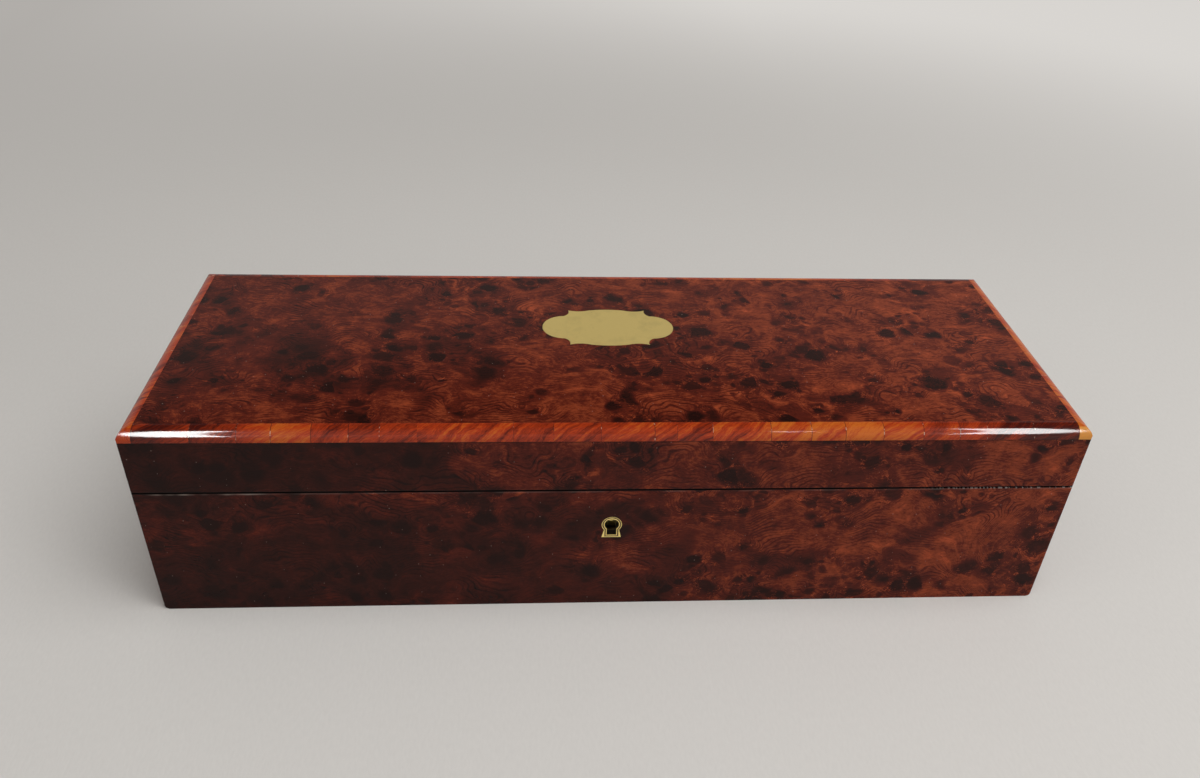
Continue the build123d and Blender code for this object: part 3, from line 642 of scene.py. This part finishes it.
class SatinPad:
    """A flat-backed satin pad in its CAD node's box, with sewn or buttoned runs pulled down into it."""

    def __init__(self, node, facing, rest, swell, cell=2.6, slack=0.05, roll=2.0):
        self.node = node
        self.low, self.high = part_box(node)
        self.axis = max(range(3), key=lambda i: abs(facing[i]))
        self.outward = facing[self.axis]
        size = self.high - self.low
        sides = sorted((i for i in range(3) if i != self.axis), key=lambda i: -size[i])
        self.sides = sides
        self.length, self.width = (size[i] / MM for i in sides)
        self.rest = rest
        self.swell = swell
        self.cell = cell
        self.slack = slack
        self.roll = roll
        self.runs = []
        self.buttons = []
        self.run_depth = 1.0
        self.run_reach = 3.0
        self.button_depth = 1.0
        self.button_reach = 3.0
        self.thinnest = 0.3

    def height(self, u, v):
        """Height of the satin over its backing before it is stuffed, in millimetres."""
        edge = min(u, v, self.length - u, self.width - v)
        if edge <= 0:
            return 0.0
        if edge < self.roll:
            rounded = math.sqrt(1 - (1 - edge / self.roll) ** 2)
        else:
            rounded = 1.0
        fold, button = self.nearest(u, v)
        dip = self.run_depth * math.exp(-fold / self.run_reach)
        if self.buttons:
            dip = max(dip, self.button_depth * math.exp(-((button / self.button_reach) ** 2)))
        return max(self.thinnest, self.rest - dip) * rounded

    def nearest(self, u, v):
        fold = min((distance_to_run((u, v), run) for run in self.runs), default=1e3)
        button = min((math.hypot(u - a, v - b) for a, b in self.buttons), default=1e3)
        return fold, button

    def build(self, name, seed):
        """The pad as a closed mesh about its own middle, at the scale of the cloth simulation."""
        us = graded(self.length, self.cell)
        vs = graded(self.width, self.cell)
        jitter = random.Random(seed)
        scale = CLOTH_SCALE * MM
        shape = bmesh.new()
        front, back = {}, {}
        for i, u in enumerate(us):
            for j, v in enumerate(vs):
                w = self.height(u, v)
                rim = i in (0, len(us) - 1) or j in (0, len(vs) - 1)
                w = 0.0 if rim else w + jitter.uniform(-0.03, 0.03)
                at = (u - 0.5 * self.length, v - 0.5 * self.width)
                front[i, j] = shape.verts.new((at[0] * scale, at[1] * scale, w * scale))
                back[i, j] = front[i, j] if rim else shape.verts.new((at[0] * scale, at[1] * scale, 0.0))
        for i in range(len(us) - 1):
            for j in range(len(vs) - 1):
                around = ((i, j), (i + 1, j), (i + 1, j + 1), (i, j + 1))
                shape.faces.new([front[at] for at in around])
                shape.faces.new([back[at] for at in reversed(around)])
        mesh = bpy.data.meshes.new(name)
        shape.to_mesh(mesh)
        shape.free()
        self.piece = bpy.data.objects.new(name, mesh)
        bpy.context.scene.collection.objects.link(self.piece)
        self.rest_places = [vertex.co.copy() for vertex in mesh.vertices]
        return self.piece

    def hold(self):
        """Vertex groups: what is nailed or sewn down, and where the satin is drawn tight."""
        held = self.piece.vertex_groups.new(name="held")
        tight = self.piece.vertex_groups.new(name="tight")
        scale = CLOTH_SCALE * MM
        for vertex in self.piece.data.vertices:
            u = vertex.co.x / scale + 0.5 * self.length
            v = vertex.co.y / scale + 0.5 * self.width
            fold, button = self.nearest(u, v)
            edge = min(u, v, self.length - u, self.width - v)
            sewn = vertex.co.z < 1e-6 or edge < 0.5 or button < 0.8 * self.cell or fold < 0.42 * self.cell
            held.add([vertex.index], 1.0 if sewn else 0.0, "REPLACE")
            tight.add([vertex.index], math.exp(-min(fold, 9.0) / 2.2), "REPLACE")

    def stuff(self):
        """Adds the cloth modifier; its frames are stepped by simulate."""
        self.hold()
        modifier = self.piece.modifiers.new("stuffing", "CLOTH")
        cloth = modifier.settings
        cloth.quality = 6
        cloth.mass = 0.25
        cloth.tension_stiffness = 12
        cloth.compression_stiffness = 12
        cloth.shear_stiffness = 6
        cloth.bending_stiffness = 0.08
        cloth.use_pressure = True
        cloth.uniform_pressure_force = 4
        cloth.effector_weights.gravity = 0
        cloth.vertex_group_mass = "held"
        cloth.vertex_group_shrink = "tight"
        cloth.shrink_min = -self.slack
        cloth.shrink_max = 0.0
        modifier.collision_settings.use_self_collision = False
        modifier.point_cache.frame_start = 1
        modifier.point_cache.frame_end = CLOTH_FRAMES

    def settle(self):
        """Applies the simulated shape, with the motion of each point capped."""
        depsgraph = bpy.context.evaluated_depsgraph_get()
        evaluated = self.piece.evaluated_get(depsgraph)
        moved = [vertex.co.copy() for vertex in evaluated.data.vertices]
        self.piece.modifiers.clear()
        self.piece.vertex_groups.clear()
        cap = self.swell * CLOTH_SCALE * MM
        for vertex, rest, new in zip(self.piece.data.vertices, self.rest_places, moved):
            step = new - rest
            if step.length > 1e-9:
                step *= cap * math.tanh(step.length / cap) / step.length
            vertex.co = rest + step

    def place(self):
        """Turns the pad from its own axes to the box's and shrinks it to size."""
        middle = 0.5 * (self.low + self.high)
        for vertex in self.piece.data.vertices:
            point = Vector(middle)
            along, across, out = vertex.co / CLOTH_SCALE
            point[self.sides[0]] += along
            point[self.sides[1]] += across
            base = self.low[self.axis] if self.outward > 0 else self.high[self.axis]
            point[self.axis] = base + self.outward * max(0.0, out)
            vertex.co = point
        shape = bmesh.new()
        shape.from_mesh(self.piece.data)
        bmesh.ops.recalc_face_normals(shape, faces=shape.faces)
        shape.to_mesh(self.piece.data)
        shape.free()
        self.piece.data.shade_smooth()
        self.piece.modifiers.new("finer", "SUBSURF").levels = 1
        self.piece.modifiers["finer"].render_levels = 1


def simulate(pads):
    for pad in pads:
        pad.stuff()
    for number in range(1, CLOTH_FRAMES + 1):
        bpy.context.scene.frame_set(number)
    for pad in pads:
        pad.settle()
    bpy.context.scene.frame_set(1)
    for pad in pads:
        pad.place()


def fit_pad(pad, material, body):
    """Gives a finished pad its satin and its body, and hides the CAD node that it stands for."""
    pad.piece.data.materials.append(material)
    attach(pad.piece, body)
    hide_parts(pad.node)


# Tufting of the lid's cushion, in millimetres from its middle

TUFT_GAP = 21.0
TUFT_ROWS = ((-TUFT_GAP, 7), (0.0, 6), (TUFT_GAP, 7))
TUFT_PITCH = 36.0


def tuft_places():
    places = []
    for row, count in TUFT_ROWS:
        first = -0.5 * (count - 1) * TUFT_PITCH
        places += [(first + i * TUFT_PITCH, row) for i in range(count)]
    return places


def tuft_runs(half_length, half_width):
    """Folds between neighbouring buttons, and from the outer buttons straight to the edges."""
    places = tuft_places()
    runs = []
    for a in places:
        for b in places:
            half_pitch_away = abs(abs(a[0] - b[0]) - 0.5 * TUFT_PITCH) < 0.1
            one_row_away = abs(abs(a[1] - b[1]) - TUFT_GAP) < 0.1
            if half_pitch_away and one_row_away and a < b:
                runs.append((a, b))
    outer = max(row for row, _ in TUFT_ROWS)
    last = max(x for x, _ in places)
    for x, y in places:
        if abs(y) == outer:
            runs.append(((x, y), (x, math.copysign(half_width, y))))
        if abs(x) == last:
            runs.append(((x, y), (math.copysign(half_length, x), y)))
    return runs


def diamond_runs(half_length, half_width, pitch):
    """Slanting lines of stitches, both ways, that end at the edges of a cushion."""
    runs = []
    reach = half_length + half_width
    count = int(reach / pitch) + 1
    for i in range(-count, count + 1):
        offset = (i + 0.5) * pitch
        for lean in (-1, 1):
            ends = []
            for y in (-half_width, half_width):
                x = offset + lean * y
                if abs(x) > half_length:
                    x = math.copysign(half_length, x)
                    y = lean * (x - offset)
                ends.append((x, y))
            if abs(ends[0][1]) <= half_width and math.dist(*ends) > 1:
                runs.append(tuple(ends))
    return runs


def shifted(points, by):
    return [(x + by[0], y + by[1]) for x, y in points]


# Stage

# The tint of the room, whose paleness is a setting
PALE = (1.0, 0.967, 0.925)


def looking(f):
    """Two masks: what the camera sees straight, and what it sees in gloss or through glass."""
    rays = f.node("ShaderNodeLightPath", {}, {}).outputs
    seen = Value(f, rays["Is Camera Ray"])
    mirrored = Value(f, rays["Is Glossy Ray"])
    through = Value(f, rays["Is Transmission Ray"])
    return seen, mirrored.largest(through)


def floor_cloth(name):
    """Plain pale grey cloth with a very fine weave; far from the box it turns into a painted glow, painted
    darker to the left and lighter to the right, that fades into the pale room.
    """
    stage = bpy.context.scene.glove_box_stage
    colour = tuple(stage.cloth)
    f = Finish(name)
    place = f.place()
    x, y, _ = f.parts(place)
    away = (x * x + y * y).math("SQRT")
    weave = f.noise(f.vectors("MULTIPLY", place, (1.0, 0.35, 1.0)), 0.9, detail=2.0)
    folds = f.noise(place, 160, detail=2.0)
    tone = f.mixed((weave - 0.5) * 0.5 + 0.25, colour, tuple(0.86 * c for c in colour))
    normal = f.bump(weave * 0.2 + folds * 2.5, 0.7, 0.35)
    cloth = f.surface(Base_Color=tone, Roughness=0.95, Normal=normal, Specular_IOR_Level=0.1)
    seen, mirrored = looking(f)
    # painted light and shade: far off, camera and glossy rays see a glow painted darker to the left and
    # lighter to the right, as the light falls
    shade = f.colour_ramp(x / 1600 + 0.5, [(0.2, (0.44, 0.42, 0.398)), (0.62, (0.69, 0.667, 0.638))])
    room = f.mixed(away.step(900, 2400), shade, tuple(stage.room * c for c in PALE))
    glow = f.node("ShaderNodeEmission", {}, {"Color": room, "Strength": 1.0}).outputs[0]
    far = away.step(330, 900) * seen.largest(mirrored)
    both = f.node("ShaderNodeMixShader", {}, {0: far, 1: cloth, 2: glow}).outputs[0]
    f.node("ShaderNodeOutputMaterial", {}, {"Surface": both})
    return f.material


# Operators

class GLOVEBOX_OT_veneers(bpy.types.Operator):
    """Finish the burl veneers"""

    bl_idname = "glove_box.veneers"
    bl_label = "Veneers"

    def execute(self, context):
        give(burl("burl_on_the_lid", (0, 1), 4.0, level=0.58, clouds=0.43, upright=False), "lid_top_veneer")
        rim = burl("burl_on_the_lid_rim", (0, 2), 31.0, level=0.48, clouds=0.55, painted_light_slope=0.0012)
        give(rim, "lid_front_veneer", "lid_back_veneer")
        crotch = (152, 20, 46)
        case = burl("burl_on_the_case", (0, 2), 57.0, level=0.52, clouds=0.51, painted_light_slope=0.0012, crotch=crotch)
        give(case, "front_veneer", "back_veneer")
        give(burl("burl_on_the_ends", (1, 2), 83.0, clouds=0.5), "left_veneer", "right_veneer")
        give(burl("burl_on_the_lid_ends", (1, 2), 83.0, clouds=0.5), "lid_left_veneer", "lid_right_veneer")
        return {"FINISHED"}


class GLOVEBOX_OT_edging(bpy.types.Operator):
    """Finish the rounded edging of the lid"""

    bl_idname = "glove_box.edging"
    bl_label = "Edging"

    def execute(self, context):
        give(edging_wood("edging_along_the_box", 0), "front_edging", "back_edging")
        give(edging_wood("edging_along_the_ends", 1), "left_edging", "right_edging")
        return {"FINISHED"}


class GLOVEBOX_OT_boards(bpy.types.Operator):
    """Finish the boards under the veneer"""

    bl_idname = "glove_box.boards"
    bl_label = "Boards"

    def execute(self, context):
        case_boards = ("front_board", "back_board", "bottom_board")
        lid_boards = ("lid_board", "lid_front_board", "lid_back_board")
        give(board_wood("board_along_the_box", 0), *case_boards, *lid_boards)
        end_boards = ("left_board", "right_board", "lid_left_board", "lid_right_board")
        give(board_wood("board_along_the_ends", 1), *end_boards)
        return {"FINISHED"}


class GLOVEBOX_OT_metalwork(bpy.types.Operator):
    """Finish the brass plate, keyhole ring, lock, strike plate, hinges and screws"""

    bl_idname = "glove_box.metalwork"
    bl_label = "Metalwork"

    def execute(self, context):
        give(brass("brass_of_the_plate"), "brass_plate")
        leaves = [f"{side}_hinge_{part}_leaf" for side in ("left", "right") for part in ("case", "lid")]
        fittings = ("lock_plate", "strike_plate", "hinge_case_screws", "hinge_lid_screws")
        give(brass("brass_of_the_fittings", dull=0.25), *fittings, *leaves)
        give(lock_brass_in_painted_shade("brass_of_the_lock"), "lock_case")
        give(ring_brass("brass_of_the_ring"), "keyhole_ring")
        pins = ("left_hinge_pin", "right_hinge_pin")
        give(steel("steel_of_the_lock"), "lock_bolt", "lock_spring", "lock_screws", "strike_screws", *pins)
        return {"FINISHED"}


class GLOVEBOX_OT_wall_linings(bpy.types.Operator):
    """Line the walls of the case and the lid with padded satin"""

    bl_idname = "glove_box.wall_linings"
    bl_label = "Wall linings"

    def execute(self, context):
        cloth = satin("satin_of_the_walls")
        walls = (("front", (0, 1, 0)), ("back", (0, -1, 0)), ("left", (1, 0, 0)), ("right", (-1, 0, 0)))
        pads = []
        for seed, (side, facing) in enumerate(walls):
            pad = SatinPad(f"{side}_lining", facing, rest=1.6, swell=0.8, cell=3.0)
            pad.build(f"{side}_satin_panel", seed)
            pads.append((pad, "case"))
            rim = SatinPad(f"lid_{side}_lining", facing, rest=0.8, swell=0.35, cell=3.0, roll=1.2)
            rim.build(f"lid_{side}_satin_panel", seed + 10)
            pads.append((rim, "lid"))
        simulate([pad for pad, _ in pads])
        for pad, body in pads:
            fit_pad(pad, cloth, body)
        return {"FINISHED"}


class GLOVEBOX_OT_floor_cushion(bpy.types.Operator):
    """Lay the quilted satin cushion on the floor of the case"""

    bl_idname = "glove_box.floor_cushion"
    bl_label = "Floor cushion"

    def execute(self, context):
        pad = SatinPad("bottom_pad", (0, 0, 1), rest=3.0, swell=1.0, cell=2.2, slack=0.06)
        half = (0.5 * pad.length, 0.5 * pad.width)
        runs = diamond_runs(*half, pitch=20.0)
        pad.runs = [tuple(shifted(run, half)) for run in runs]
        pad.run_depth = 1.3
        pad.run_reach = 2.6
        pad.build("floor_cushion", 21)
        simulate([pad])
        fit_pad(pad, satin("satin_of_the_floor"), "case")
        return {"FINISHED"}


class GLOVEBOX_OT_lid_cushion(bpy.types.Operator):
    """Button the deep satin cushion into the lid"""

    bl_idname = "glove_box.lid_cushion"
    bl_label = "Lid cushion"

    def execute(self, context):
        cloth = satin("satin_of_the_lid")
        pad = SatinPad("lid_pad", (0, 0, -1), rest=4.3, swell=1.4, cell=2.2, slack=0.08, roll=3.0)
        half = (0.5 * pad.length, 0.5 * pad.width)
        pad.runs = [tuple(shifted(run, half)) for run in tuft_runs(*half)]
        pad.buttons = shifted(tuft_places(), half)
        pad.run_depth = 1.9
        pad.run_reach = 3.4
        pad.button_depth = 2.6
        pad.build("lid_cushion", 22)
        simulate([pad])
        fit_pad(pad, cloth, "lid")
        self.buttons(pad, cloth)
        return {"FINISHED"}

    def buttons(self, pad, cloth):
        """Satin-covered buttons, domed and drawn into the cushion."""
        low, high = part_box("lid_buttons")
        radius = 2.2 * MM
        underside = -0.22
        dome = [(0.0, 1.0), (0.35, 0.96), (0.66, 0.82), (0.88, 0.56), (1.0, 0.2), (1.0, 0.0)]
        profile = [*dome, (0.86, underside), (0.0, underside)]
        rise = high.z - low.z
        middle = 0.5 * (pad.low + pad.high)
        around = 20
        pleat_depth = 0.03
        shape = bmesh.new()
        for x, y in tuft_places():
            rings = []
            for out, up in profile:
                level = high.z - rise * 0.2 - rise * up
                if out == 0.0:
                    rings.append([shape.verts.new((middle.x + x * MM, middle.y + y * MM, level))])
                    continue
                ring = []
                for step in range(around):
                    angle = 2 * math.pi * step / around
                    pleat = 1 - pleat_depth * (step % 2) * (up < 0.7)
                    reach = radius * out * pleat
                    spot_x = middle.x + x * MM + reach * math.cos(angle)
                    spot_y = middle.y + y * MM + reach * math.sin(angle)
                    ring.append(shape.verts.new((spot_x, spot_y, level)))
                rings.append(ring)
            for first, second in zip(rings, rings[1:]):
                for step in range(around):
                    after = (step + 1) % around
                    corners = [first[step % len(first)], second[step % len(second)]]
                    corners += [second[after % len(second)], first[after % len(first)]]
                    unique = list(dict.fromkeys(corners))
                    shape.faces.new(unique)
        bmesh.ops.recalc_face_normals(shape, faces=shape.faces)
        mesh = bpy.data.meshes.new("cushion_buttons")
        shape.to_mesh(mesh)
        shape.free()
        mesh.shade_smooth()
        piece = new_piece("cushion_buttons", mesh, cloth, "lid")
        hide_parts("lid_buttons")


class GLOVEBOX_OT_stage(bpy.types.Operator):
    """Lay out the floor, the lamps, the pale room and the camera"""

    bl_idname = "glove_box.stage"
    bl_label = "Stage"

    def execute(self, context):
        settings = context.scene.glove_box_stage
        self.floor(floor_cloth("stage_cloth"))
        self.lamps()
        self.world()
        self.camera(settings)
        context.scene.view_settings.view_transform = "Standard"
        return {"FINISHED"}

    def floor(self, material):
        """A wide round floor."""
        radius = 8.0
        around = 64
        shape = bmesh.new()
        bmesh.ops.create_circle(shape, cap_ends=True, segments=around, radius=radius)
        mesh = bpy.data.meshes.new("floor")
        shape.to_mesh(mesh)
        shape.free()
        mesh.materials.append(material)
        floor = bpy.data.objects.new("floor", mesh)
        bpy.context.scene.collection.objects.link(floor)

    def lamps(self):
        """A soft lamp for the room, and the streaks of windows in front that show along the edging."""
        self.lamp("room", (0.42, -0.3, 1.15), (1.1, 0.9), 11.0)
        self.lamp("fill", (-0.8, -0.6, 0.8), (1.0, 0.8), 1.5)
        self.lamp("side", (0.95, -0.7, 0.5), (0.5, 0.4), 1.8)
        corner = (-0.13, -0.05, 0.07)
        self.lamp("left_window", (-0.6, -0.954, 0.974), (0.12, 1.3), 24.0, reflected_at=corner)
        corner = (0.131, -0.05, 0.07)
        self.lamp("right_window", (0.76, -0.91, 0.93), (0.14, 1.2), 18.0, reflected_at=corner)
        middle = (0.054, -0.05, 0.07)
        self.lamp("far_window", (0.401, -0.936, 1.024), (0.06, 0.12), 0.5, reflected_at=middle)

    def lamp(self, name, place, size, watts, reflected_at=None):
        """An area lamp on the box; one that is given a place to be reflected at only adds gloss there."""
        light = bpy.data.lights.new(name, "AREA")
        light.shape = "RECTANGLE"
        light.size, light.size_y = size
        light.energy = watts
        lamp = bpy.data.objects.new(name, light)
        back = (Vector(place) - Vector(reflected_at or (0.0, 0.0, 0.04))).normalized()
        tall = back.cross(Vector((1.0, 0.0, 0.0))).normalized()
        turn = Matrix((tall.cross(back), tall, back)).transposed().to_4x4()
        lamp.matrix_world = Matrix.Translation(place) @ turn
        lamp.visible_diffuse = reflected_at is None
        lamp.visible_glossy = reflected_at is not None
        bpy.context.scene.collection.objects.link(lamp)

    def world(self):
        """A pale room that is dark overhead in reflections, and soft light from all round."""
        stage = bpy.context.scene.glove_box_stage
        world = bpy.data.worlds.new("room")
        f = Finish("room", world)
        seen, mirrored = looking(f)
        towards = f.node("ShaderNodeTexCoord", {}, {}).outputs["Generated"]
        rise = f.parts(towards)[2]
        overhead = rise.step(0.5, 0.58) * 0.9
        reflected = mirrored * (1 - overhead) * stage.room
        soft_light = 0.27
        lighting = (1 - seen.largest(mirrored)) * soft_light
        strength = seen * stage.room + reflected + lighting
        light = f.node("ShaderNodeBackground", {}, {0: (*PALE, 1.0), 1: strength}).outputs[0]
        f.node("ShaderNodeOutputWorld", {}, {"Surface": light})
        bpy.context.scene.world = world

    def camera(self, settings):
        """The camera, from its place and its three angles."""
        yaw, pitch, roll = settings.camera_yaw, settings.camera_pitch, settings.camera_roll
        view = Vector((math.sin(yaw) * math.cos(pitch), math.cos(yaw) * math.cos(pitch), -math.sin(pitch)))
        level = Vector((math.cos(yaw), -math.sin(yaw), 0.0))
        upright = level.cross(view)
        right = math.cos(roll) * level + math.sin(roll) * upright
        up = math.cos(roll) * upright - math.sin(roll) * level
        turn = Matrix((right, up, -view)).transposed().to_4x4()
        data = bpy.data.cameras.new("camera")
        data.sensor_width = 36.0
        data.lens = data.sensor_width * settings.focal_pixels / settings.picture_width
        data.clip_start = 0.01
        camera = bpy.data.objects.new("camera", data)
        camera.matrix_world = Matrix.Translation(settings.camera_place) @ turn
        bpy.context.scene.collection.objects.link(camera)
        bpy.context.scene.camera = camera


# Add-on

SETTINGS = (
    ("glove_box_woods", WoodSettings),
    ("glove_box_metals", MetalSettings),
    ("glove_box_lining", LiningSettings),
    ("glove_box_stage", StageSettings),
)
OPERATORS = (
    GLOVEBOX_OT_veneers,
    GLOVEBOX_OT_edging,
    GLOVEBOX_OT_boards,
    GLOVEBOX_OT_metalwork,
    GLOVEBOX_OT_wall_linings,
    GLOVEBOX_OT_floor_cushion,
    GLOVEBOX_OT_lid_cushion,
    GLOVEBOX_OT_stage,
)


class GLOVEBOX_PT_panel(bpy.types.Panel):
    """The glove box's finishes, in the order in which they are made"""

    bl_idname = "GLOVEBOX_PT_panel"
    bl_label = "Glove Box"
    bl_space_type = "VIEW_3D"
    bl_region_type = "UI"
    bl_category = "Glove Box"

    def draw(self, context):
        for name, group in SETTINGS:
            settings = getattr(context.scene, name)
            for key in group.__annotations__:
                self.layout.prop(settings, key)
        for operator in OPERATORS:
            self.layout.operator(operator.bl_idname)


def register():
    for name, group in SETTINGS:
        bpy.utils.register_class(group)
        setattr(bpy.types.Scene, name, PointerProperty(type=group))
    for operator in OPERATORS:
        bpy.utils.register_class(operator)
    bpy.utils.register_class(GLOVEBOX_PT_panel)


def unregister():
    bpy.utils.unregister_class(GLOVEBOX_PT_panel)
    for operator in reversed(OPERATORS):
        bpy.utils.unregister_class(operator)
    for name, group in reversed(SETTINGS):
        delattr(bpy.types.Scene, name)
        bpy.utils.unregister_class(group)


def main():
    register()
    bpy.ops.glove_box.veneers()
    bpy.ops.glove_box.edging()
    bpy.ops.glove_box.boards()
    bpy.ops.glove_box.metalwork()
    bpy.ops.glove_box.wall_linings()
    bpy.ops.glove_box.floor_cushion()
    bpy.ops.glove_box.lid_cushion()
    bpy.ops.glove_box.stage()


if __name__ == "__main__":
    main()
